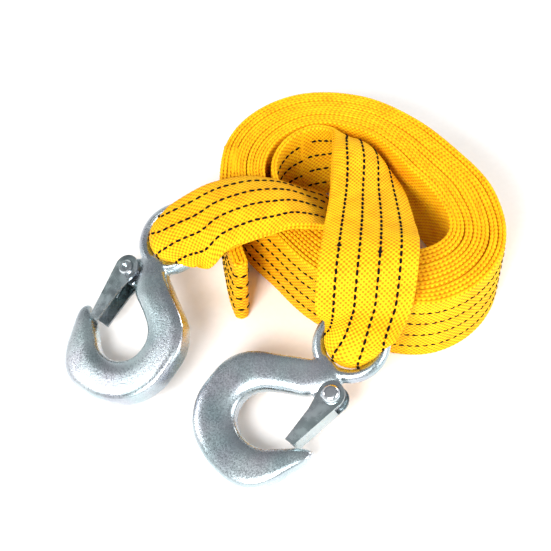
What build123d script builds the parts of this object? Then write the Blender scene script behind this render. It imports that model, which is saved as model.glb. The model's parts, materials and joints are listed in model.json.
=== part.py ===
"""Coiled tow strap with a latched forged eye hook at each end.

Millimetres, +Z up. The origin is under the middle of the whole object, on the
surface that it lies on. The strap is folded in half and wound as a pair, so the
roll stands on its edge, its middle fold stands free at the roll's left, and both
ends come out of the roll's hole to the two hooks.
"""
import os
from math import cos, hypot, radians, sin

from build123d import *

os.makedirs("parts", exist_ok=True)

# ---------------------------------------------------------------- webbing
webbing_width = 50.0        # strap width, and so the height of the roll
band_thickness = 4.4        # two plies of webbing as they lie in a run
soft_gap = 0.3              # a soft piece stands this far off its neighbour

# roll, seen from above: radius about its centre, every 30 degrees from +X
roll_centre = (40.8, 42.2)
roll_outer = [74.5, 64.0, 64.8, 73.8, 82.6, 84.8, 75.0, 55.5, 58.0, 67.5, 84.0, 85.5]
roll_hole = [40.0, 33.0, 36.5, 47.0, 54.0, 52.0, 41.0, 29.0, 30.0, 34.5, 45.5, 53.0]

# middle fold of the strap, leaving the roll at its left: path and thickness
bight_path = [(-33.6, 59.8), (-32.6, 33.8), (-28.6, 7.8), (-25.2, -4.2)]
bight_thickness = 8.4

# ---------------------------------------------------------------- rivet
rivet_radius = 2.5
bore_fit = 0.05             # radial, rivet in the hook's ear
latch_fit = 0.1             # radial, rivet in the latch's cheeks
head_radius = 5.2
head_height = 3.4
tail_radius = 4.0
tail_height = 1.6
head_gap = 0.1              # rivet head to latch cheek

# ---------------------------------------------------------------- hook
# angles and points are in the hook's plane: bowl centre at zero, eye along +X
bowl_inner = 15.0           # radius of the bowl's inside
bowl_outer = 36.0           # radius of the hook's back
ring_distance = 59.0        # bowl centre to eye centre
ring_radius = 17.2          # eye, to the middle of its bar
ring_bar = 3.7              # eye bar radius
hook_thickness = 13.0
hook_bevel = 1.0
bevel_rim = 12.0            # rims longer than this are bevelled
outer_start = 55.0          # where the back's arc meets the shank
outer_end = 215.0           # where the back's arc meets the tip
inner_start = 35.0
inner_end = 235.0
tip_back = (-13.0, -30.6)
tip_out = (6.0, -32.5)
tip_end = (8.2, -30.2)
tip_in = (6.2, -27.6)
neck_out = (38.0, 8.5)
neck_top = (43.4, 5.5)
neck_low = (43.6, -11.5)
ear_low = (38.5, -18.6)
shank_in = (25.5, -9.5)
pivot = (34.0, -15.4)       # rivet axis
ear_thickness = 6.4
ear_radius = 5.4
ear_pocket = 11.5           # radius of the thinned land round the pivot
table_gap = 0.1             # under the hook's lowest point

# ---------------------------------------------------------------- latch and its spring
sheet = 1.2                 # latch sheet thickness
ear_space = 1.9             # from the ear to a latch cheek, where the coil sits
lobe_radius = 7.2
latch_back = -22.6          # outer face of the web
latch_tip = 2.6             # where the web ends, inside the hook's tip
cheek_end = (1.4, -17.2)
latch_stop = (21.0, -13.0)
lobe_start = (-2.0, 6.9)    # from the pivot, where the cheek's edge meets its lobe
heel_length = 4.0           # the channel is open at the heel from here past the pivot
spring_wire = 1.2
spring_radius = 4.2         # to the middle of the wire
spring_leg = 16.0           # straight leg that lies along the latch's web

# ---------------------------------------------------------------- eye loops
loop_gap = 0.4              # loop to eye bar
loop_ply = 1.9              # one ply, above and below the bar
loop_reach = 26.0           # eye centre to the loop's flex line
loop_flare = 4.0            # how much wider the loop is past the bar than in the eye
loop_taper = 6.0            # how much narrower the strap is at the flex line
flex_radius = 2.3           # half the thickness at the flex line

# ---------------------------------------------------------------- where the hooks lie
# bowl centre in plan, direction from bowl to eye, and the direction of the rivet's head
front_bowl = (-11.4, -83.6)
front_axis = Vector(0.755, 0.545, 0.365)
front_up = Vector(-0.241, -0.287, 0.927)
front_loop_angle = 31.0     # from the hook's axis to the strap, in the eye's plane
front_lift = 58.0           # from the eye's plane up to the strap run
left_bowl = (-86.6, -33.8)
left_axis = Vector(0.429, 0.815, 0.390)
left_up = Vector(0.408, 0.211, -0.888)
left_loop_angle = 40.0
left_lift = -8.0

# ---------------------------------------------------------------- strap runs
# stations from inside the roll's hole to the loop: the two edges of the strap, each as
# X, Y and height above the roll's top
front_stations = [
    ((22.8, 86.3, -0.5), (22.8, 86.3, -49.0)),
    ((28.8, 82.8, 1.0), (31.8, 82.8, -47.0)),
    ((25.8, 69.7, 4.0), (38.8, 79.2, -42.0)),
    ((24.8, 53.2, 7.0), (51.8, 70.2, -28.0)),
    ((23.3, 30.3, 13.0), (63.8, 48.2, -11.0)),
    ((19.8, 6.8, 18.5), (68.4, 12.2, 7.0)),
    ((17.5, -9.3, 20.0), (67.0, -6.8, 19.0)),
    ((16.8, -22.8, 18.0), (64.8, -21.8, 17.0)),
]
left_stations = [
    ((31.8, 28.2, -1.0), (31.8, 58.2, -37.0)),
    ((18.8, 9.3, 10.5), (23.8, 50.8, -12.0)),
    ((9.8, 8.2, 12.5), (11.3, 53.2, -5.0)),
    ((0.8, 8.2, 12.0), (1.3, 55.2, 1.0)),
    ((-8.2, 5.2, 11.0), (-10.2, 53.2, 4.0)),
    ((-20.2, 1.2, 10.5), (-22.2, 50.2, 6.0)),
]

# ---------------------------------------------------------------- derived sizes
flat_half = hook_thickness / 2
cheek_half = ear_thickness / 2 + ear_space
head_face = cheek_half + sheet + head_gap
coil_height = ear_thickness / 2 + ear_space / 2
loop_end_width = webbing_width - loop_taper
plug = ring_radius - ring_bar - loop_gap
ring_edge = ring_radius + ring_bar + loop_gap


def polar_outline(radii):
    """Points of a closed outline round the roll's centre."""
    step = 360.0 / len(radii)
    return [
        (roll_centre[0] + r * cos(radians(i * step)), roll_centre[1] + r * sin(radians(i * step)))
        for i, r in enumerate(radii)
    ]


def finish(part, label):
    """Label a piece and write it to its own file."""
    part.label = label
    export_step(part, f"parts/{label}.step")


def hook_plane(bowl, axis, up):
    """Plane of a hook at rest: origin at its bowl, X to the eye, Z to the rivet's head."""
    x_dir = axis.normalized()
    z_dir = (up - x_dir * up.dot(x_dir)).normalized()
    lean = hypot(z_dir.X, z_dir.Y)
    height = (bowl_outer - hook_bevel) * lean + flat_half * abs(z_dir.Z) + table_gap
    return Plane(origin=(*bowl, height), x_dir=x_dir, z_dir=z_dir)


def turned(plane, local_x, local_y, angle, height=0.0):
    """The plane moved to a point in itself and turned about its own Z."""
    origin = plane.from_local_coords((local_x, local_y, height))
    direction = plane.from_local_coords(
        (local_x + cos(radians(angle)), local_y + sin(radians(angle)), height)
    )
    return Plane(origin=origin, x_dir=direction - origin, z_dir=plane.z_dir)


def on_circle(radius, angle):
    """Point on a circle about the bowl's centre."""
    return (radius * cos(radians(angle)), radius * sin(radians(angle)))


def over_roll(edge):
    """A station's edge, whose height is given from the roll's top."""
    return Vector(edge[0], edge[1], webbing_width + edge[2])


def run_sections(stations, last_plane):
    """Planes and sizes of a run's sections, each square to the line of its neighbours' middles."""
    edges = [(over_roll(a), over_roll(b)) for a, b in stations]
    middles = [(a + b) * 0.5 for a, b in edges] + [last_plane.origin]
    sections = []
    for i, (a, b) in enumerate(edges):
        across = (b - a).normalized()
        ahead = middles[i + 1] - middles[max(i - 1, 0)]
        run_dir = ahead - across * ahead.dot(across)
        section_plane = Plane(origin=middles[i], x_dir=across, z_dir=run_dir)
        sections.append((section_plane, (b - a).length, band_thickness))
    sections.append((last_plane, loop_end_width, 2 * flex_radius))
    return sections


# ================================================================ the roll
with BuildPart() as roll:
    with BuildSketch():
        with BuildLine():
            Spline(*polar_outline(roll_outer), periodic=True)
        make_face()
        with BuildLine():
            Spline(*polar_outline(roll_hole), periodic=True)
        make_face(mode=Mode.SUBTRACT)
    extrude(amount=webbing_width)
finish(roll.part, "webbing_roll")

# ================================================================ the middle fold
with BuildPart() as bight:
    with BuildSketch():
        with BuildLine() as fold_line:
            Spline(*bight_path)
        trace(fold_line.line, line_width=bight_thickness)
        with Locations(bight_path[-1]):
            Circle(bight_thickness / 2)
        with BuildLine():
            Spline(*polar_outline([r + soft_gap for r in roll_outer]), periodic=True)
        make_face(mode=Mode.SUBTRACT)
    extrude(amount=webbing_width)
finish(bight.part, "webbing_bight")

hooks = [
    ("front", hook_plane(front_bowl, front_axis, front_up), front_loop_angle),
    ("left", hook_plane(left_bowl, left_axis, left_up), left_loop_angle),
]

# ================================================================ hooks, latches and loops
for side, plane, loop_angle in hooks:
    # ------------------------------------------------------------ forged body
    with BuildPart() as body:
        with BuildSketch(plane):
            with BuildLine():
                Polyline(
                    on_circle(bowl_outer, outer_start), neck_out, neck_top, neck_low, ear_low,
                    (pivot[0] - ear_radius, pivot[1] - ear_radius * 0.6), shank_in,
                    on_circle(bowl_inner, inner_start),
                )
                CenterArc((0, 0), bowl_inner, inner_start, inner_end - inner_start)
                Line(on_circle(bowl_inner, inner_end), tip_in)
                ThreePointArc(tip_in, tip_end, tip_out)
                ThreePointArc(tip_out, tip_back, on_circle(bowl_outer, outer_end))
                CenterArc((0, 0), bowl_outer, outer_start, outer_end - outer_start)
            make_face()
        extrude(amount=flat_half, both=True)
        flats = body.faces().filter_by(lambda f: abs(f.normal_at().dot(plane.z_dir)) > 0.999)
        rims = flats.edges().filter_by(lambda e: e.length > bevel_rim)
        chamfer(rims, length=hook_bevel)
        # the land round the pivot is thin, and bored for the rivet
        for way in (1, -1):
            with BuildSketch(turned(plane, *pivot, 0, way * ear_thickness / 2)):
                Circle(ear_pocket)
            extrude(amount=way * hook_thickness, mode=Mode.SUBTRACT)
        with BuildSketch(turned(plane, *pivot, 0)):
            Circle(rivet_radius + bore_fit)
        extrude(amount=hook_thickness, both=True, mode=Mode.SUBTRACT)
        # eye ring
        with Locations(Plane(plane.from_local_coords((ring_distance, 0, 0)), z_dir=plane.z_dir)):
            Torus(ring_radius, ring_bar)
    finish(body.part, f"{side}_hook_body")

    # ------------------------------------------------------------ latch channel
    with BuildPart() as latch:
        with BuildSketch(plane):
            with BuildLine():
                Polyline(
                    (pivot[0], latch_back), (latch_tip, latch_back), cheek_end, latch_stop,
                    (pivot[0] + lobe_start[0], pivot[1] + lobe_start[1]), pivot, close=True,
                )
            make_face()
            with Locations(pivot):
                Circle(lobe_radius)
        extrude(amount=cheek_half + sheet, both=True)
        # all but the web between the cheeks is taken out, and the web stops at the heel
        with BuildSketch(plane):
            with Locations((pivot[0], latch_back + sheet)):
                Rectangle(4 * webbing_width, webbing_width, align=(Align.CENTER, Align.MIN))
            with Locations((pivot[0] - heel_length, 0)):
                Rectangle(webbing_width, 2 * webbing_width, align=(Align.MIN, Align.CENTER))
        extrude(amount=cheek_half, both=True, mode=Mode.SUBTRACT)
        with BuildSketch(turned(plane, *pivot, 0)):
            Circle(rivet_radius + latch_fit)
        extrude(amount=hook_thickness, both=True, mode=Mode.SUBTRACT)
    finish(latch.part, f"{side}_latch")

    # ------------------------------------------------------------ rivet
    with BuildPart() as rivet:
        with BuildSketch(turned(plane, *pivot, 0)):
            Circle(rivet_radius)
        extrude(amount=head_face, both=True)
        with BuildSketch(turned(plane, *pivot, 0, head_face)):
            Circle(head_radius)
        extrude(amount=head_height)
        dome = rivet.faces().sort_by(Axis(plane.origin, plane.z_dir))[-1]
        fillet(dome.edges(), radius=head_height * 0.9)
        with BuildSketch(turned(plane, *pivot, 0, -head_face)):
            Circle(tail_radius)
        extrude(amount=-tail_height)
        tail = rivet.faces().sort_by(Axis(plane.origin, plane.z_dir))[0]
        chamfer(tail.edges(), length=tail_height * 0.5)
        with BuildSketch(turned(plane, *pivot, 0, -head_face - tail_height)):
            Circle(rivet_radius * 0.7)
        extrude(amount=tail_height, mode=Mode.SUBTRACT)
    finish(rivet.part, f"{side}_rivet")

    # ------------------------------------------------------------ torsion spring
    with BuildPart() as spring:
        for way in (1, -1):
            at = turned(plane, *pivot, 0, way * coil_height)
            with BuildLine(at) as wire:
                CenterArc((0, 0), spring_radius, 180, -270)
                Line((0, -spring_radius), (-spring_leg, -spring_radius))
            with BuildSketch(Plane(origin=wire.line @ 0, z_dir=wire.line % 0)):
                Circle(spring_wire / 2)
            sweep(path=wire.line)
    finish(spring.part, f"{side}_latch_spring")

    # ------------------------------------------------------------ eye loop
    loop_plane = turned(plane, ring_distance, 0, loop_angle)
    with BuildPart() as loop:
        with BuildSketch(loop_plane):
            with BuildLine():
                Polyline(
                    (0, -plug), (ring_edge + loop_ply, -plug - loop_flare),
                    (ring_edge + loop_ply, plug + loop_flare), (0, plug), close=True,
                )
            make_face()
            Circle(plug)
        extrude(amount=ring_bar + loop_gap + loop_ply, both=True)
        with BuildSketch(loop_plane):
            Circle(ring_edge)
            Circle(plug, mode=Mode.SUBTRACT)
        extrude(amount=ring_bar + loop_gap, both=True, mode=Mode.SUBTRACT)
        with BuildSketch(loop_plane):
            with BuildLine():
                Polyline(
                    (ring_edge, -plug - loop_flare), (loop_reach, -loop_end_width / 2),
                    (loop_reach, loop_end_width / 2), (ring_edge, plug + loop_flare), close=True,
                )
            make_face()
        extrude(amount=flex_radius, both=True)
        flex_line = Plane(
            origin=loop_plane.from_local_coords((loop_reach, 0, 0)), z_dir=loop_plane.y_dir
        )
        with BuildSketch(flex_line):
            Circle(flex_radius)
        extrude(amount=loop_end_width / 2, both=True)
    finish(loop.part, f"{side}_eye_loop")

# ================================================================ strap runs
runs = [(*hooks[0], front_stations, front_lift), (*hooks[1], left_stations, left_lift)]
for side, plane, loop_angle, stations, lift in runs:
    loop_plane = turned(plane, ring_distance, 0, loop_angle)
    flex = loop_plane.from_local_coords((loop_reach, 0, 0))
    facing = 1 if loop_plane.z_dir.Z > 0 else -1
    away = loop_plane.x_dir * cos(radians(lift)) + loop_plane.z_dir * (facing * sin(radians(lift)))
    end_plane = Plane(
        origin=flex + away * (flex_radius + soft_gap), x_dir=loop_plane.y_dir * -facing, z_dir=away * -1
    )
    with BuildPart() as run:
        for section_plane, width, thickness in run_sections(stations, end_plane):
            with BuildSketch(section_plane):
                Rectangle(width, thickness)
        loft(ruled=True)
    finish(run.part, f"{side}_strap_run")
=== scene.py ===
"""Looks for a coiled yellow tow strap with a latched forged hook at each end."""
import json
from math import atan2, cos, pi, radians, sin

import bmesh
import bpy
import numpy as np
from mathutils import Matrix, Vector


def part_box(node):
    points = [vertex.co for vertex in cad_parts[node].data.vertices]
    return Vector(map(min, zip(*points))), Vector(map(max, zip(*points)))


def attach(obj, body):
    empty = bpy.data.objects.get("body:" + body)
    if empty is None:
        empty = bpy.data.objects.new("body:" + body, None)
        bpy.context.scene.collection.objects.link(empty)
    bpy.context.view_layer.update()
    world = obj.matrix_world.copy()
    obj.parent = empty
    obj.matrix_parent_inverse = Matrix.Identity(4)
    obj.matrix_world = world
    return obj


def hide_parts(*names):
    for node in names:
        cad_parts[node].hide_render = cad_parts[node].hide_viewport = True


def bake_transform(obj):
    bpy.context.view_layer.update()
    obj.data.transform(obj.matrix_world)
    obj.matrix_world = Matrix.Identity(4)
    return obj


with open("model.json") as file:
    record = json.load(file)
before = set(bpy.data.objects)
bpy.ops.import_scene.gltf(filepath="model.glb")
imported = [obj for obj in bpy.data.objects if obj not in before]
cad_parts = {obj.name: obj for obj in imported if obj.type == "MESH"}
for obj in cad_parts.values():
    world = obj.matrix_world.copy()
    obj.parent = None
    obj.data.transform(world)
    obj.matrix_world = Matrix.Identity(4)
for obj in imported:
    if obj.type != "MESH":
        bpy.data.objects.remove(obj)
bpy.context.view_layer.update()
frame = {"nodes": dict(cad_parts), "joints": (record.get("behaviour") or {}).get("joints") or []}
rng = np.random.default_rng(7)

MM = 0.001
WIDTH = 50.0                # webbing width
HALF = WIDTH / 2
PLY = 1.9                   # one ply's thickness
STEP = 0.62                 # from one mesh row to the next along a ply that shows its weave
DASH_PITCH = 4.2            # stitch to stitch
DASH_LENGTH = 2.9
DASH_HALF = 0.72            # half a stitch's width
DASH_ROWS = (-0.62, -0.2, 0.22, 0.63)   # across the strap, from edge to edge as -1 to 1
KNOTS = ((0, -52.0), (2, -57.0))   # a row of the front strap's thread, and its y from the roll's centre
WEAVE = 2.7                 # one repeat of the weave
WEAVE_HEIGHT = 0.22

# the roll's centre, from the lowest corner of its CAD solid
roll_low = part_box("webbing_roll")[0] / MM
CENTRE = np.array([roll_low.x + 79.1, roll_low.y + 74.3])

# the roll's outline and hole, as radii every 30 degrees, and how many bands lie between
ROLL_OUTER = np.array([74.5, 64, 64.8, 73.8, 82.6, 84.0, 75, 55.5, 58, 67.5, 84, 85.5])
ROLL_HOLE = np.array([40, 33, 36.5, 47, 54, 52, 41, 29, 30, 34.5, 45.5, 53])
ROLL_GAP = np.array([0, 0, 0, 0, 0.5, 2.5, 4, 2, 0, 0, 0, 0])      # inside the innermost band but one
BANDS = np.array([7, 7, 7, 7, 8, 8, 8, 6, 6, 7, 7, 7])
# the innermost band's key at the same angles, as band_radius takes it
INNER_TURN = np.array([360, 390, 420, 450, 300, 330, 360, 390, 420, 270, 300, 330])
BAND_PITCH = (ROLL_OUTER - ROLL_HOLE - ROLL_GAP) / BANDS
LEAN = 9.0                  # how far the foot of the innermost front band is drawn in
PLY_SHARE = 0.46            # a ply's thickness as a share of the bands' pitch


# ---------------------------------------------------------------- curves
def periodic(values, degrees):
    """Smooth closed interpolation of values given every 30 degrees."""
    t = np.asarray(degrees, float) / 30.0
    i = np.floor(t).astype(int)
    f = t - i
    p = [values[(i + k) % len(values)] for k in (-1, 0, 1, 2)]
    return 0.5 * (
        2 * p[1] + (p[2] - p[0]) * f + (2 * p[0] - 5 * p[1] + 4 * p[2] - p[3]) * f**2
        + (3 * p[1] - p[0] - 3 * p[2] + p[3]) * f**3
    )


def catmull(points, count):
    """Even-parameter Catmull-Rom curve through points of any dimension."""
    p = np.asarray(points, float)
    p = np.vstack([2 * p[0] - p[1], p, 2 * p[-1] - p[-2]])
    t = np.linspace(0, len(p) - 3 - 1e-9, count)
    i = t.astype(int)
    f = (t - i)[:, None]
    a, b, c, d = p[i], p[i + 1], p[i + 2], p[i + 3]
    square = (2 * a - 5 * b + 4 * c - d) * f**2
    cube = (3 * b - a - 3 * c + d) * f**3
    return 0.5 * (2 * b + (c - a) * f + square + cube)


def arc_length(path):
    """Distance along a path at each of its points."""
    return np.concatenate([[0], np.cumsum(np.linalg.norm(np.diff(path, axis=0), axis=1))])


def even(rows, path, step):
    """Rows resampled so that their path's points lie a step apart."""
    s = arc_length(path)
    count = max(int(s[-1] / step), 4)
    at = np.linspace(0, s[-1], count)
    flat = rows.reshape(len(rows), -1)
    out = np.stack([np.interp(at, s, flat[:, k]) for k in range(flat.shape[1])], 1)
    return out.reshape((count,) + rows.shape[1:])


def unit(v):
    return v / np.maximum(np.linalg.norm(v, axis=-1, keepdims=True), 1e-9)


# ---------------------------------------------------------------- the roll's bands
def band_radius(turn, key):
    """Radius of a band's middle: turn is its own angle, key its place in the spiral."""
    a = turn % 360
    pitch = periodic(BAND_PITCH, a)
    base = ROLL_HOLE + BAND_PITCH / 2 - INNER_TURN / 180 * BAND_PITCH + ROLL_GAP
    hole = periodic(base, a)
    inward = periodic(ROLL_GAP, a) * np.clip((460 - key) / 60, 0, 1)
    return hole + key / 180 * pitch - inward, pitch


def band_path(start, stop, lead, side, step=0.6):
    """Plan points of one ply of a band. lead is how far its key runs ahead of its angle."""
    turn = np.arange(start, stop, 0.35)
    key = turn + lead
    r, pitch = band_radius(turn, key)
    wobble = 0.18 * np.sin(radians(1) * turn * 2.3 + lead) + 0.12 * np.sin(radians(1) * turn * 5.1)
    r = r + side * PLY_SHARE / 2 * pitch + wobble
    a = np.radians(turn)
    xy = CENTRE + np.stack([r * np.cos(a), r * np.sin(a)], 1)
    return even(np.column_stack([xy, PLY_SHARE * pitch]), xy, step)


# ---------------------------------------------------------------- webbing mesh
def columns(fine):
    """Places across the webbing, close together at its edges."""
    inner = np.arange(-HALF + 1.4, HALF - 1.39, fine)
    edge = np.array([0, 0.06, 0.25, 0.55, 0.95])
    return np.concatenate([edge - HALF, inner, (HALF - edge)[::-1]])


def make_mesh(name, verts, faces, uvs=None):
    mesh = bpy.data.meshes.new(name)
    mesh.from_pydata((np.asarray(verts) * MM).tolist(), [], faces)
    if uvs is not None:
        layer = mesh.uv_layers.new(name="weave")
        index = np.empty(len(mesh.loops), np.int32)
        mesh.loops.foreach_get("vertex_index", index)
        layer.data.foreach_set("uv", uvs[index].astype(np.float32).ravel())
    mesh.polygons.foreach_set("use_smooth", [True] * len(mesh.polygons))
    mesh.update()
    piece = bpy.data.objects.new(name, mesh)
    bpy.context.scene.collection.objects.link(piece)
    return piece


def ribbon_sheet(surface, across, thickness, bump):
    """Both faces of a ply from its middle surface. surface is rows by columns by 3."""
    thickness = np.broadcast_to(np.asarray(thickness, float), len(surface))[:, None]
    along = unit(np.gradient(surface, axis=0))
    over = unit(np.gradient(surface, axis=1))
    normal = unit(np.cross(along, over))
    s = arc_length(surface[:, surface.shape[1] // 2])[:, None]
    v = across[None, :]
    edge = np.clip((np.abs(v) - (HALF - thickness * 0.6)) / (thickness * 0.6), 0, 1)
    half = thickness / 2 * np.sqrt(np.clip(1 - edge**2, 0, 1))
    weave = bump * np.cos(2 * pi * s / WEAVE) * np.cos(2 * pi * v / WEAVE) * (1 - edge)
    ridge = 0.28 * np.cos(2 * pi * s / 1.3) * edge**2 * np.sign(v)
    middle = surface + over * ridge[..., None]
    top = middle + normal * (half + weave)[..., None]
    low = middle - normal * (half - weave * 0.6)[..., None]
    uv = np.stack([np.broadcast_to(s, weave.shape), np.broadcast_to(v, weave.shape)], -1) * MM
    return top, low, normal, uv


def ribbon(name, surface, across, thickness=PLY):
    """Closed mesh of one ply."""
    top, low, _, uv = ribbon_sheet(surface, across, thickness, WEAVE_HEIGHT)
    n, m = surface.shape[:2]
    verts = np.concatenate([top.reshape(-1, 3), low[:, 1:-1].reshape(-1, 3)])
    uvs = np.concatenate([uv.reshape(-1, 2), uv[:, 1:-1].reshape(-1, 2)])
    top_id = np.arange(n * m).reshape(n, m)
    low_id = np.empty((n, m), int)
    low_id[:, 0], low_id[:, -1] = top_id[:, 0], top_id[:, -1]
    low_id[:, 1:-1] = n * m + np.arange(n * (m - 2)).reshape(n, m - 2)

    def quads(ids, flip):
        q = np.stack([ids[:-1, :-1], ids[1:, :-1], ids[1:, 1:], ids[:-1, 1:]], -1).reshape(-1, 4)
        return (q[:, ::-1] if flip else q).tolist()

    faces = quads(top_id, False) + quads(low_id, True)
    for row, flip in ((0, True), (n - 1, False)):
        loop = list(top_id[row]) + list(low_id[row, 1:-1][::-1])
        faces.append([int(k) for k in (loop if flip else loop[::-1])])
    return make_mesh(name, verts, faces, uvs)


def upright(path, across):
    """Surface of a ply that stands on its edge along a plan path."""
    surface = np.empty((len(path), len(across), 3))
    surface[..., :2] = path[:, None, :2]
    surface[..., 2] = HALF + across[None, :]
    return surface


def standing(name, path, across):
    """A ply on its edge, with the thickness that its path gives."""
    return ribbon(name, upright(path, across), across, path[:, 2])


def lean(surface):
    """Draws the foot of a band's first 60 mm in toward the run that rises from it."""
    s = arc_length(surface[:, 0])
    amount = LEAN * np.clip(1 - s / 60, 0, 1) ** 2
    surface[..., 1] -= amount[:, None] * (1 - surface[..., 2] / WIDTH)
    return surface


# ---------------------------------------------------------------- stitches
def stitch_mesh(surface, across, face):
    """Vertices and faces of the dashes that lie on one face of a ply."""
    top, low, normal, _ = ribbon_sheet(surface, across, PLY, 0.0)
    skin = top if face > 0 else low
    out = normal * face
    s = arc_length(surface[:, surface.shape[1] // 2])
    verts, faces = [], []
    profile = ((-1.0, 0.25), (-0.8, 0.8), (-0.3, 1.0), (0.3, 1.0), (0.8, 0.8), (1.0, 0.25))
    for row in DASH_ROWS:
        v = row * HALF
        column = int(np.argmin(np.abs(across - v)))
        lane, up = skin[:, column], out[:, column]
        at = rng.uniform(0, DASH_PITCH)
        while at < s[-1] - DASH_PITCH:
            length = DASH_LENGTH * rng.uniform(0.9, 1.1) / 2
            tilt = rng.uniform(-0.12, 0.12)
            base = len(verts)
            for along, size in profile:
                here = at + length * along
                p = np.array([np.interp(here, s, lane[:, k]) for k in range(3)])
                q = np.array([np.interp(here + 0.5, s, lane[:, k]) for k in range(3)])
                n = unit(np.array([np.interp(here, s, up[:, k]) for k in range(3)]))
                side = unit(np.cross(n, q - p))
                p = p + side * tilt * along
                for k in range(8):
                    a = 2 * pi * k / 8
                    verts.append(p + side * DASH_HALF * size * cos(a) + n * (0.45 * size * sin(a) + 0.2))
            for i in range(len(profile) - 1):
                for k in range(8):
                    a, b = base + i * 8 + k, base + i * 8 + (k + 1) % 8
                    faces.append([a, b, b + 8, a + 8])
            faces.append([base + k for k in range(8)][::-1])
            faces.append([base + (len(profile) - 1) * 8 + k for k in range(8)])
            at += DASH_PITCH * rng.uniform(0.97, 1.03)
    return verts, faces


def knot_mesh(surface, across, face, row, y):
    """A small knot in one row of thread, where the upper ply passes a given y."""
    top, low, normal, _ = ribbon_sheet(surface, across, PLY, 0.0)
    skin = top if face > 0 else low
    column = int(np.argmin(np.abs(across - row * HALF)))
    at = int(np.argmin(np.abs(skin[:len(skin) // 2, column, 1] - y)))
    centre = skin[at, column] + normal[at, column] * face * 0.4
    verts = []
    for i in range(1, 6):
        for k in range(8):
            a, b = pi * i / 6, 2 * pi * k / 8
            verts.append(centre + np.array([1.35 * sin(a) * cos(b), 0.95 * sin(a) * sin(b), 0.8 * cos(a)]))
    faces = []
    for i in range(4):
        for k in range(8):
            a, b = i * 8 + k, i * 8 + (k + 1) % 8
            faces.append([a, b, b + 8, a + 8])
    return verts, faces + [list(range(8))[::-1], list(range(32, 40))]


def stitches(name, parts):
    """One piece from several lists of dashes."""
    verts, faces = [], []
    for v, f in parts:
        shift = len(verts)
        verts += v
        faces += [[k + shift for k in face] for face in f]
    return make_mesh(name, np.array(verts), faces)


# ---------------------------------------------------------------- materials
def node_material(name):
    m = bpy.data.materials.new(name)
    m.use_nodes = True
    tree = m.node_tree
    return m, tree, tree.nodes["Principled BSDF"]


def link(tree, a, b):
    tree.links.new(a, b)


def math_node(tree, operation, a, b=None):
    n = tree.nodes.new("ShaderNodeMath")
    n.operation = operation
    for socket, value in zip(n.inputs, (a, b)):
        if value is None:
            continue
        if isinstance(value, (int, float)):
            socket.default_value = value
        else:
            link(tree, value, socket)
    return n.outputs[0]


def noise(tree, scale, detail, coordinates):
    n = tree.nodes.new("ShaderNodeTexNoise")
    n.inputs["Scale"].default_value = scale
    n.inputs["Detail"].default_value = detail
    link(tree, coordinates, n.inputs["Vector"])
    return n.outputs["Fac"]


def ramp(tree, value, stops):
    n = tree.nodes.new("ShaderNodeValToRGB")
    while len(n.color_ramp.elements) < len(stops):
        n.color_ramp.elements.new(0.5)
    for element, (place, colour) in zip(n.color_ramp.elements, stops):
        element.position = place
        element.color = (*colour, 1)
    link(tree, value, n.inputs["Fac"])
    return n.outputs["Color"]


def bump_node(tree, height, strength, distance, shader):
    n = tree.nodes.new("ShaderNodeBump")
    n.inputs["Strength"].default_value = strength
    n.inputs["Distance"].default_value = distance
    link(tree, height, n.inputs["Height"])
    link(tree, n.outputs["Normal"], shader.inputs["Normal"])


def webbing_material(name):
    """Yellow polyester: a basket weave of fat yarns, each with its own fibres. Its colour holds painted
    shade: darker orange in the weave's hollows and lighter yellow on the yarns' tops, with a random cloudy
    tone over it.
    """
    m, tree, shader = node_material(name)
    uv = tree.nodes.new("ShaderNodeUVMap")
    uv.uv_map = "weave"
    split = tree.nodes.new("ShaderNodeSeparateXYZ")
    link(tree, uv.outputs["UV"], split.inputs[0])
    turns = 2 * pi / (WEAVE * MM)
    along = math_node(tree, "COSINE", math_node(tree, "MULTIPLY", split.outputs[0], turns))
    over = math_node(tree, "COSINE", math_node(tree, "MULTIPLY", split.outputs[1], turns))
    cells = math_node(tree, "MULTIPLY", along, over)
    fibre = noise(tree, 2600, 3, uv.outputs["UV"])
    cloud = noise(tree, 90, 4, uv.outputs["UV"])
    height = math_node(tree, "ADD", math_node(tree, "MULTIPLY", cells, 0.5), fibre)
    # painted shade: where the weave sinks its colour goes to orange, where it rises to yellow; the cloud
    # adds random tone
    gap_shade_and_tone = math_node(tree, "ADD", math_node(tree, "MULTIPLY", cells, 0.36),
                      math_node(tree, "ADD", math_node(tree, "MULTIPLY", cloud, 0.55), 0.23))
    # orange stop is the painted shade of the hollows, the yellow stops are the lit tops of the yarns
    colour = ramp(tree, gap_shade_and_tone, [
        (0.25, (0.70, 0.21, 0.001)), (0.5, (0.91, 0.45, 0.004)), (0.75, (0.98, 0.60, 0.010)),
    ])
    link(tree, colour, shader.inputs["Base Color"])
    shader.inputs["Roughness"].default_value = 0.62
    shader.inputs["Specular IOR Level"].default_value = 0.12
    bump_node(tree, height, 0.55, 0.0005, shader)
    return m


def thread_material():
    m, tree, shader = node_material("dark_thread")
    place = tree.nodes.new("ShaderNodeTexCoord").outputs["Object"]
    twist = noise(tree, 3000, 2, place)
    link(tree, ramp(tree, twist, [(0.3, (0.002, 0.0015, 0.001)), (0.75, (0.012, 0.009, 0.008))]),
         shader.inputs["Base Color"])
    shader.inputs["Roughness"].default_value = 0.9
    shader.inputs["Specular IOR Level"].default_value = 0.1
    bump_node(tree, twist, 0.5, 0.0003, shader)
    return m


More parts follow.
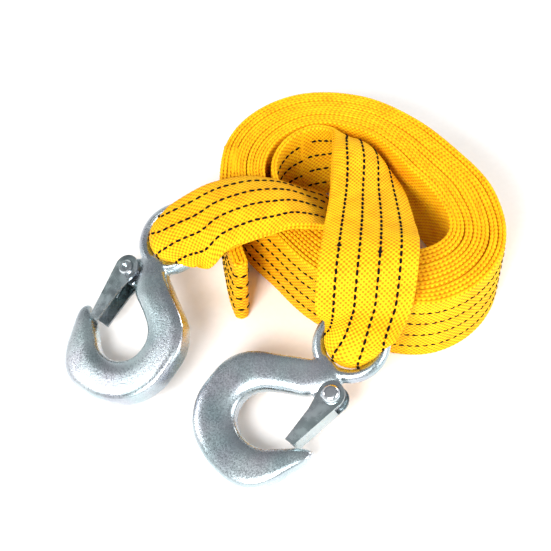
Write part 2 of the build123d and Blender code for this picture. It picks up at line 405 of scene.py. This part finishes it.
def steel_material(name, grain, roughness, dark, light, strength):
    """Zinc plate over a forging or a pressing. grain is the size of its roughness in mm."""
    m, tree, shader = node_material(name)
    place = tree.nodes.new("ShaderNodeTexCoord").outputs["Object"]
    coarse = noise(tree, 1000 / grain, 4, place)
    cloud = noise(tree, 38, 3, place)
    film = ramp(tree, noise(tree, 60, 1, place), [
        (0.34, (1.0, 0.93, 0.96)), (0.5, (1, 1, 1)), (0.66, (0.93, 1.0, 0.98)),
    ])
    tint = tree.nodes.new("ShaderNodeMix")
    tint.data_type = "RGBA"
    tint.blend_type = "MULTIPLY"
    tint.inputs["Factor"].default_value = 1.0
    link(tree, ramp(tree, cloud, [(0.3, dark), (0.62, light)]), tint.inputs[6])
    link(tree, film, tint.inputs[7])
    link(tree, tint.outputs[2], shader.inputs["Base Color"])
    shader.inputs["Metallic"].default_value = 1.0
    rough = tree.nodes.new("ShaderNodeMapRange")
    rough.inputs["From Min"].default_value = 0.35
    rough.inputs["From Max"].default_value = 0.65
    rough.inputs["To Min"].default_value = roughness - 0.05
    rough.inputs["To Max"].default_value = roughness + 0.08
    link(tree, coarse, rough.inputs["Value"])
    link(tree, rough.outputs["Result"], shader.inputs["Roughness"])
    bump_node(tree, coarse, strength, 0.0004, shader)
    return m


def floor_material():
    m, tree, shader = node_material("white_paper")
    place = tree.nodes.new("ShaderNodeTexCoord").outputs["Object"]
    tooth = noise(tree, 300, 2, place)
    paper = ramp(tree, tooth, [(0.3, (0.93, 0.93, 0.93)), (0.7, (0.96, 0.96, 0.96))])
    link(tree, paper, shader.inputs["Base Color"])
    shader.inputs["Roughness"].default_value = 0.9
    return m


yellow = webbing_material("yellow_webbing")
dark_thread = thread_material()
forged = steel_material("forged_zinc", 0.8, 0.27, (0.36, 0.42, 0.46), (0.58, 0.64, 0.67), 0.16)
pressed = steel_material("pressed_zinc", 6.0, 0.24, (0.25, 0.29, 0.31), (0.45, 0.50, 0.52), 0.12)
bright = steel_material("bright_rivet", 9.0, 0.16, (0.45, 0.47, 0.50), (0.74, 0.77, 0.80), 0.08)
wire = steel_material("spring_wire", 4.0, 0.28, (0.22, 0.23, 0.25), (0.5, 0.52, 0.55), 0.1)


def paint(piece, material):
    piece.data.materials.clear()
    piece.data.materials.append(material)


# ---------------------------------------------------------------- where the hooks lie
RING_DISTANCE = 59.0        # from the bowl's centre to the eye's, along the hook
RING_RADIUS = 17.2          # to the middle of the eye's bar
RING_BAR = 3.7              # half the bar's thickness
PIVOT_REACH = 34.0          # the latch's rivet, from the bowl's centre along the hook
PIVOT_DROP = 15.4           # and to its open side
LUG_HALF = 3.2              # half the thickness of the lug that carries the rivet


class Hook:
    """Places and directions of one hook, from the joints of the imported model."""

    def __init__(self, side):
        joint = {j["name"]: j for j in frame["joints"]}
        self.side = side
        self.ring = np.array(joint[f"{side}_hook_swing"]["pos_m"]) / MM
        self.z = unit(np.array(joint[f"{side}_hook_swing"]["axis"], float))
        self.pivot = np.array(joint[f"{side}_latch_open"]["pos_m"]) / MM
        self.flex = np.array(joint[f"{side}_loop_flex"]["pos_m"]) / MM
        back = unit(self.ring - self.pivot)
        turn = -atan2(PIVOT_DROP, RING_DISTANCE - PIVOT_REACH)
        self.x = back * cos(turn) + np.cross(self.z, back) * sin(turn)
        self.y = np.cross(self.z, self.x)
        self.bowl = self.ring - self.x * RING_DISTANCE
        self.out = unit(self.flex - self.ring)
        self.up = self.z if self.z[2] > 0 else -self.z
        self.across = np.cross(self.up, self.out)

    def at(self, x, y, z=0.0):
        return self.bowl + self.x * x + self.y * y + self.z * z


hooks = {side: Hook(side) for side in ("front", "left")}

# ---------------------------------------------------------------- roll and middle fold
plain = columns(5.5)
wall = columns(0.75)
F_LEAD, L_LEAD = 180, 0     # a front band lies half a turn's key outside its own angle
F_START, F_END = 125, 1247
L_START, L_END = 300, 1607
L_OUTER = L_END - 360       # from here the left band is the outside of the roll

roll_pieces = []
for side, label in ((1, "outer"), (-1, "inner")):
    path = band_path(F_START, F_END, F_LEAD, side)
    surface = lean(upright(path, plain))
    roll_pieces.append(ribbon(f"roll_front_band_{label}_ply", surface, plain, path[:, 2]))
roll_pieces.append(standing("roll_left_band_inner_ply", band_path(L_START, L_END, L_LEAD, -1), plain))
roll_pieces.append(standing("roll_left_band_outer_ply", band_path(L_START, L_OUTER, L_LEAD, 1), plain))
outer_path = band_path(L_OUTER, L_END, L_LEAD, 1, 0.68)
outer_wall = upright(outer_path, wall)
roll_pieces.append(standing("roll_outside_ply", outer_path, wall))

# the middle fold: both bands leave the roll together, and turn back on themselves
leave_l = band_path(L_END - 12, L_END, L_LEAD, 0)[:, :2]
leave_f = band_path(F_END - 12, F_END, F_LEAD, 0)[:, :2]
pair = (leave_l[[0, -1]] + leave_f[[0, -1]]) / 2
fold_points = np.vstack([pair, CENTRE + np.array([(-73.4, -8.4), (-69.4, -34.4), (-66.0, -46.4)])])
fold_line = catmull(fold_points, 160)
fold_dir = unit(np.gradient(fold_line, axis=0))
fold_side = np.stack([fold_dir[:, 1], -fold_dir[:, 0]], 1)
nose_angles = np.radians(np.linspace(0, 180, 40))
fold_plies = []
for offset, label in ((3.1, "outer"), (1.1, "inner")):
    nose = fold_line[-1] + offset * (
        fold_side[-1] * np.cos(nose_angles)[:, None] + fold_dir[-1] * np.sin(nose_angles)[:, None]
    )
    path = np.vstack([fold_line + fold_side * offset, nose[1:-1], (fold_line - fold_side * offset)[::-1]])
    surface = upright(even(path, path, STEP), wall)
    fold_plies.append((surface, ribbon(f"middle_fold_{label}_ply", surface, wall)))


# ---------------------------------------------------------------- strap runs and eye loops
def on_band(turn, lead, drawn_in=0.0):
    """Top and bottom edges of a band in the roll. drawn_in is how far its foot leans forward."""
    r, _ = band_radius(np.array([float(turn)]), np.array([float(turn + lead)]))
    x, y = CENTRE + r[0] * np.array([cos(radians(turn)), sin(radians(turn))])
    return (x - CENTRE[0], y - CENTRE[1], WIDTH), (x - CENTRE[0], y - CENTRE[1] - drawn_in, 0.0)


# the folded end of each strap inside its eye. A row is the reach and height of its edges from the
# ring's centre, half its width, how far its middle lies deeper than its edges, its bow, and how far
# it lies to one side
NOSE = {
    "front": [(9, 5.5, 20, 6, 4, 4), (5.5, 5.2, 17.5, 9.5, 3.5, 3.5), (2, 4.4, 15, 12.4, 3, 2)],
    "left": [(9, 4.0, 21.5, 5, 5.5, -5), (5.5, 4.4, 19.0, 9, 4.5, -4.5), (2, 4.4, 15, 12.4, 3, -2)],
}
NOSE_END = (0.3, 2.0, 13.2, 12.9, 1.6, 0)
BENEATH = [(27, -2.2, 22.5, 0, -3, 0), (21, -4.4, 20.5, 2, -3.5, 0), (14, -4.9, 17, 5, -2.5, 0),
           (7, -4.6, 14.3, 9, -2.0, 0), (2, -3.9, 13.0, 11.8, -2.4, 0), (0.3, -2.0, 12.6, 12.6, -1.6, 0)]


def strap_ply(stations, ends, hook, across, flip, ply):
    """Middle surface of one ply, from the roll along a run and on into the eye."""
    w = hook.across * flip
    rows = []
    for place in stations:
        bow = place[2] if len(place) > 2 else -1.0
        rows.append([*place[0], *place[1], bow, 0.0])
    rows = np.array(rows, float)
    rows[:, [0, 3]] += CENTRE[0]
    rows[:, [1, 4]] += CENTRE[1]
    half = np.linalg.norm(rows[:, 3:6] - rows[:, 0:3], axis=1) / 2
    arch = np.sqrt(np.clip(1.5 * half * (HALF - half), 0, None))
    rows[:, 6] = np.where(rows[:, 6] < 0, arch, rows[:, 6])
    for reach, height, chord, deeper, bow, shift in ends:
        middle = hook.ring + hook.out * reach + hook.up * height + w * shift
        rows = np.vstack([rows, [*(middle - w * chord), *(middle + w * chord), bow, deeper]])
    row_number = catmull(np.arange(len(rows), dtype=float)[:, None], 40 * len(rows))[:, 0]
    rows = catmull(rows, 40 * len(rows))
    p, q = rows[:, 0:3], rows[:, 3:6]
    chord = np.linalg.norm(q - p, axis=1) / 2
    middle = (p + q) / 2
    side = unit(q - p)
    ahead = unit(np.gradient(middle, axis=0))
    ahead = unit(ahead - side * np.sum(ahead * side, axis=1)[:, None])
    into_eye = np.clip((row_number - len(stations) + 2) / 2, 0, 1)[:, None]
    up = unit(-np.cross(ahead, side) * flip * (1 - into_eye) + hook.up * into_eye)
    spread = across / HALF
    # where the webbing is narrowed its edges curl down, past upright once it is in the eye
    curl = (0.05 + 1.45 * np.clip((HALF - chord) / 11.0, 0, 1))[:, None] * pi / 2
    turned = spread[None, :] * curl
    rim = np.minimum(curl, pi / 2)
    x = np.sin(turned) / np.sin(rim)
    z = rows[:, 6][:, None] * (np.cos(turned) - np.cos(rim)) / (1 - np.cos(rim)) + ply
    cup = rows[:, 7][:, None] * np.sqrt(np.clip(1 - x**2, 0, 1))
    return (middle[:, None] + side[:, None] * (x * chord[:, None])[..., None]
            + up[:, None] * z[..., None] - hook.out[None, None] * cup[..., None])


def join_rows(parts):
    """One surface from several, with a smooth passage where they meet."""
    rows = np.concatenate(parts)
    for _ in range(40):
        rows[1:-1] = rows[1:-1] * 0.5 + (rows[:-2] + rows[2:]) * 0.25
    return rows


front_run = [
    on_band(125, F_LEAD, LEAN), on_band(116, F_LEAD, LEAN),
    ((-15.4, 46.5, 50.5), (-11.0, 41.0, 1.5)),
    ((-14.4, 42.0, 52.0), (-3.0, 40.0, 8.0)),
    ((-14.6, 34.0, 53.5), (2.5, 38.0, 15.0)),
    ((-15.0, 24.0, 55.5), (9.5, 33.0, 25.0)),
    ((-16.0, 11.0, 57.0), (18.0, 25.0, 33.0)),
    ((-17.5, -10.5, 61.0), (24.6, 6.5, 41.0)),
    ((-21.0, -33.0, 64.0), (28.0, -29.0, 56.0)),
    ((-23.3, -51.5, 68.0), (28.0, -48.5, 69.0)),
    ((-25.5, -66.0, 67.0), (26.6, -64.0, 69.0)),
    ((-26.6, -76.5, 58.0), (25.0, -74.0, 59.0)),
    ((-26.0, -82.6, 50.5), (22.5, -81.5, 48.0), 3.0),
]
left_run = [
    on_band(300, L_LEAD), on_band(285, L_LEAD),
    ((-3.0, -33.5, 50.5), (-1.0, -32.0, 1.0)),
    ((-9.0, -32.0, 53.0), (-5.0, -16.0, 5.5)),
    ((-16.0, -31.0, 57.0), (-10.5, -0.5, 18.0)),
    ((-23.0, -30.5, 58.0), (-17.0, 12.0, 30.0), 1.5),
    ((-31.0, -30.5, 58.5), (-29.5, 13.0, 35.0), 3.5),
    ((-40.0, -31.5, 59.0), (-40.5, 11.5, 42.0), 5.5),
    ((-49.0, -35.0, 58.5), (-50.0, 9.0, 49.5), 6.5),
    ((-61.1, -40.2, 59.0), (-63.3, 8.4, 52.5), 6.0),
    ((-72.0, -46.0, 58.0), (-77.6, 3.0, 55.5), 5.0),
    ((-80.5, -51.5, 49.0), (-88.6, -0.6, 54.0), 6.0),
]
runs = {"front": (front_run, -1), "left": (left_run, 1)}
fine = columns(0.66)
for side, (stations, flip) in runs.items():
    hook = hooks[side]
    top = strap_ply(stations, NOSE[side] + [NOSE_END], hook, fine, flip, 1.0)
    low = strap_ply(stations[:-2], BENEATH, hook, fine, flip, -1.0)
    centre_line = len(fine) // 2
    strap = join_rows([even(p, p[:, centre_line], STEP) for p in (top, low[::-1])])
    strap = even(strap, strap[:, centre_line], STEP)
    piece = ribbon(f"{side}_strap", strap, fine)
    paint(piece, yellow)
    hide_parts(f"{side}_strap_run", f"{side}_eye_loop")
    thread_parts = [stitch_mesh(strap, fine, -flip)]
    if side == "front":
        for row, y in KNOTS:
            thread_parts.append(knot_mesh(strap, fine, -flip, DASH_ROWS[row], CENTRE[1] + y))
    threads = stitches(f"{side}_strap_stitches", thread_parts)
    paint(threads, dark_thread)
    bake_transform(piece)
    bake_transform(threads)

# ---------------------------------------------------------------- stitches of the roll
inner_f = lean(upright(band_path(F_START, 300, F_LEAD, -1), plain))
parts = [
    stitch_mesh(outer_wall, wall, 1),
    stitch_mesh(fold_plies[0][0], wall, 1),
    stitch_mesh(inner_f, plain, -1),
]
roll_threads = stitches("roll_stitches", parts)
paint(roll_threads, dark_thread)
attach(roll_threads, "strap")
for piece in roll_pieces + [p for _, p in fold_plies]:
    paint(piece, yellow)
    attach(piece, "strap")
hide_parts("webbing_roll")
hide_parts("webbing_bight")


# ---------------------------------------------------------------- hooks
HOOK_RIBS = [   # back point, inside point, thickness
    ((46, 6), (46, -9), 6), ((42.5, 5), (42.5, -12), 7.5),
    ((38, 8), (36, -11), 9), ((33, 14), (27, -7.5), 11),
    ((28.1, 19.9), (22.4, -4.3), 12.4), ((20.4, 29.6), (18.1, 1.2), 13), ((13.1, 35.3), (14.5, 6), 13),
    ((3.5, 38.1), (8.5, 12.3), 13), ((-7, 37), (1.5, 15.3), 13), ((-18, 34), (-5, 14.5), 13),
    ((-27.7, 26.9), (-9.5, 12), 13), ((-33.6, 17.9), (-12.9, 7.7), 13), ((-36.4, 6), (-14.6, 2.5), 13),
    ((-36.3, -5), (-14.5, -3), 13), ((-33.5, -16.5), (-13, -8.3), 13), ((-27, -24.6), (-10, -12.5), 12.8),
    ((-18, -28.9), (-6.5, -15.5), 12.4), ((-8, -31), (-2.5, -19), 11.6), ((-0.6, -32.4), (1.7, -22.5), 10.4),
    ((4, -32.6), (4.6, -25.6), 8.4), ((6.8, -31.6), (6.6, -28.2), 5.4), ((8, -30.4), (7.8, -29.6), 2.0),
]
LUG = [   # outline of the lug, from the bowl's centre
    (26, -4), (26.6, -12), (29.5, -18.5), (34, -21), (38.5, -19), (41.5, -13), (44, -6), (38, 2), (30, 3),
]


def add_shank(bm, hook):
    """Ribs from the neck round the bowl to the tip, flat on both faces and rounder on the inside."""
    ribs = catmull([[*a, *b, t] for a, b, t in HOOK_RIBS], 170)
    around = 28
    rings = []
    for ax, ay, bx, by, t in ribs:
        mid, half = np.array([(ax + bx) / 2, (ay + by) / 2]), np.array([(ax - bx) / 2, (ay - by) / 2])
        ring = []
        for k in range(around):
            c, s = cos(2 * pi * k / around), sin(2 * pi * k / around)
            round_u, round_v = (0.5, 0.32) if c > 0 else (0.82, 0.55)
            u = np.sign(c) * abs(c) ** round_u
            v = np.sign(s) * abs(s) ** round_v
            x, y = mid + half * u
            ring.append(bm.verts.new(hook.at(x, y, v * t / 2) * MM))
        rings.append(ring)
    for r0, r1 in zip(rings, rings[1:]):
        for k in range(around):
            bm.faces.new([r0[k], r0[(k + 1) % around], r1[(k + 1) % around], r1[k]])
    bm.faces.new(rings[0][::-1])
    bm.faces.new(rings[-1])


def add_eye(bm, hook):
    """The eye: a round bar bent into a ring."""
    eye = []
    for i in range(96):
        a = 2 * pi * i / 96
        ring = []
        for k in range(24):
            b = 2 * pi * k / 24
            r = RING_RADIUS + RING_BAR * cos(b)
            place = hook.at(RING_DISTANCE + r * cos(a), r * sin(a), RING_BAR * sin(b))
            ring.append(bm.verts.new(place * MM))
        eye.append(ring)
    for i in range(96):
        r0, r1 = eye[i], eye[(i + 1) % 96]
        for k in range(24):
            bm.faces.new([r0[k], r1[k], r1[(k + 1) % 24], r0[(k + 1) % 24]])


def add_lug(bm, hook):
    """The thin plate between the latch's cheeks."""
    low = [bm.verts.new(hook.at(x, y, -LUG_HALF) * MM) for x, y in LUG]
    high = [bm.verts.new(hook.at(x, y, LUG_HALF) * MM) for x, y in LUG]
    bm.faces.new(low[::-1])
    bm.faces.new(high)
    for i in range(len(LUG)):
        j = (i + 1) % len(LUG)
        bm.faces.new([low[i], low[j], high[j], high[i]])


def hook_mesh(hook):
    """Forged body: shank, eye and lug, fused into one skin and eased."""
    bm = bmesh.new()
    add_shank(bm, hook)
    add_eye(bm, hook)
    add_lug(bm, hook)
    bmesh.ops.recalc_face_normals(bm, faces=bm.faces)
    mesh = bpy.data.meshes.new(f"{hook.side}_hook_forging")
    bm.to_mesh(mesh)
    bm.free()
    piece = bpy.data.objects.new(f"{hook.side}_hook_forging", mesh)
    bpy.context.scene.collection.objects.link(piece)
    fuse = piece.modifiers.new("fuse", "REMESH")
    fuse.mode = "VOXEL"
    fuse.voxel_size = 0.62 * MM
    ease = piece.modifiers.new("ease", "SMOOTH")
    ease.factor = 0.5
    ease.iterations = 5
    depsgraph = bpy.context.evaluated_depsgraph_get()
    done = bpy.data.meshes.new_from_object(piece.evaluated_get(depsgraph))
    piece.modifiers.clear()
    piece.data = done
    for polygon in piece.data.polygons:
        polygon.use_smooth = True
    return piece


for side, hook in hooks.items():
    forging = hook_mesh(hook)
    paint(forging, forged)
    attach(forging, f"{side}_hook")
    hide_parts(f"{side}_hook_body")
    paint(frame["nodes"][f"{side}_latch"], pressed)
    paint(frame["nodes"][f"{side}_rivet"], bright)
    paint(frame["nodes"][f"{side}_latch_spring"], wire)


# ---------------------------------------------------------------- floor, light and camera
bpy.ops.mesh.primitive_plane_add(size=8, location=(0, 0, -0.0004))
floor = bpy.context.object
floor.name = "floor"
paint(floor, floor_material())

world = bpy.data.worlds.new("studio")
bpy.context.scene.world = world
world.use_nodes = True
sky = world.node_tree
sky_place = sky.nodes.new("ShaderNodeTexCoord").outputs["Generated"]
sky_split = sky.nodes.new("ShaderNodeSeparateXYZ")
link(sky, sky_place, sky_split.inputs[0])
sky_colour = ramp(sky, sky_split.outputs[2], [
    (0.0, (1, 1, 1)), (0.35, (0.9, 0.9, 0.9)), (0.62, (0.2, 0.21, 0.22)), (1.0, (0.4, 0.41, 0.42)),
])
link(sky, sky_colour, sky.nodes["Background"].inputs["Color"])
sky.nodes["Background"].inputs["Strength"].default_value = 1.0
bpy.context.scene.view_settings.view_transform = "Standard"


def area_light(name, place, target, size, power):
    data = bpy.data.lights.new(name, "AREA")
    data.shape = "RECTANGLE"
    data.size, data.size_y = size
    data.energy = power
    lamp = bpy.data.objects.new(name, data)
    bpy.context.scene.collection.objects.link(lamp)
    lamp.location = place
    lamp.rotation_euler = (Vector(target) - Vector(place)).to_track_quat("-Z", "Y").to_euler()


middle = Vector((0, 0, 0.03))
area_light("key", (-0.35, -0.8, 0.8), middle, (0.4, 0.4), 16)
area_light("fill", (0.8, -0.5, 0.7), middle, (0.6, 0.5), 7)
area_light("back", (0.9, 0.8, 0.6), middle, (0.5, 0.4), 6)
area_light("side", (-0.95, -0.05, 0.66), middle, (0.18, 0.3), 2.2)

# the camera looks down at 54 degrees from 0.85 m, at a point on the floor under the roll's left side
aim = Vector((CENTRE[0] - 47.0, CENTRE[1] - 20.0, 0)) * MM
tilt = radians(54)
camera_data = bpy.data.cameras.new("camera")
camera_data.lens = 97.46
camera_data.sensor_width = 36.0
camera = bpy.data.objects.new("camera", camera_data)
bpy.context.scene.collection.objects.link(camera)
camera.location = aim + Vector((0, -cos(tilt), sin(tilt))) * 0.85
camera.rotation_euler = (radians(90) - tilt, 0, 0)
bpy.context.scene.camera = camera
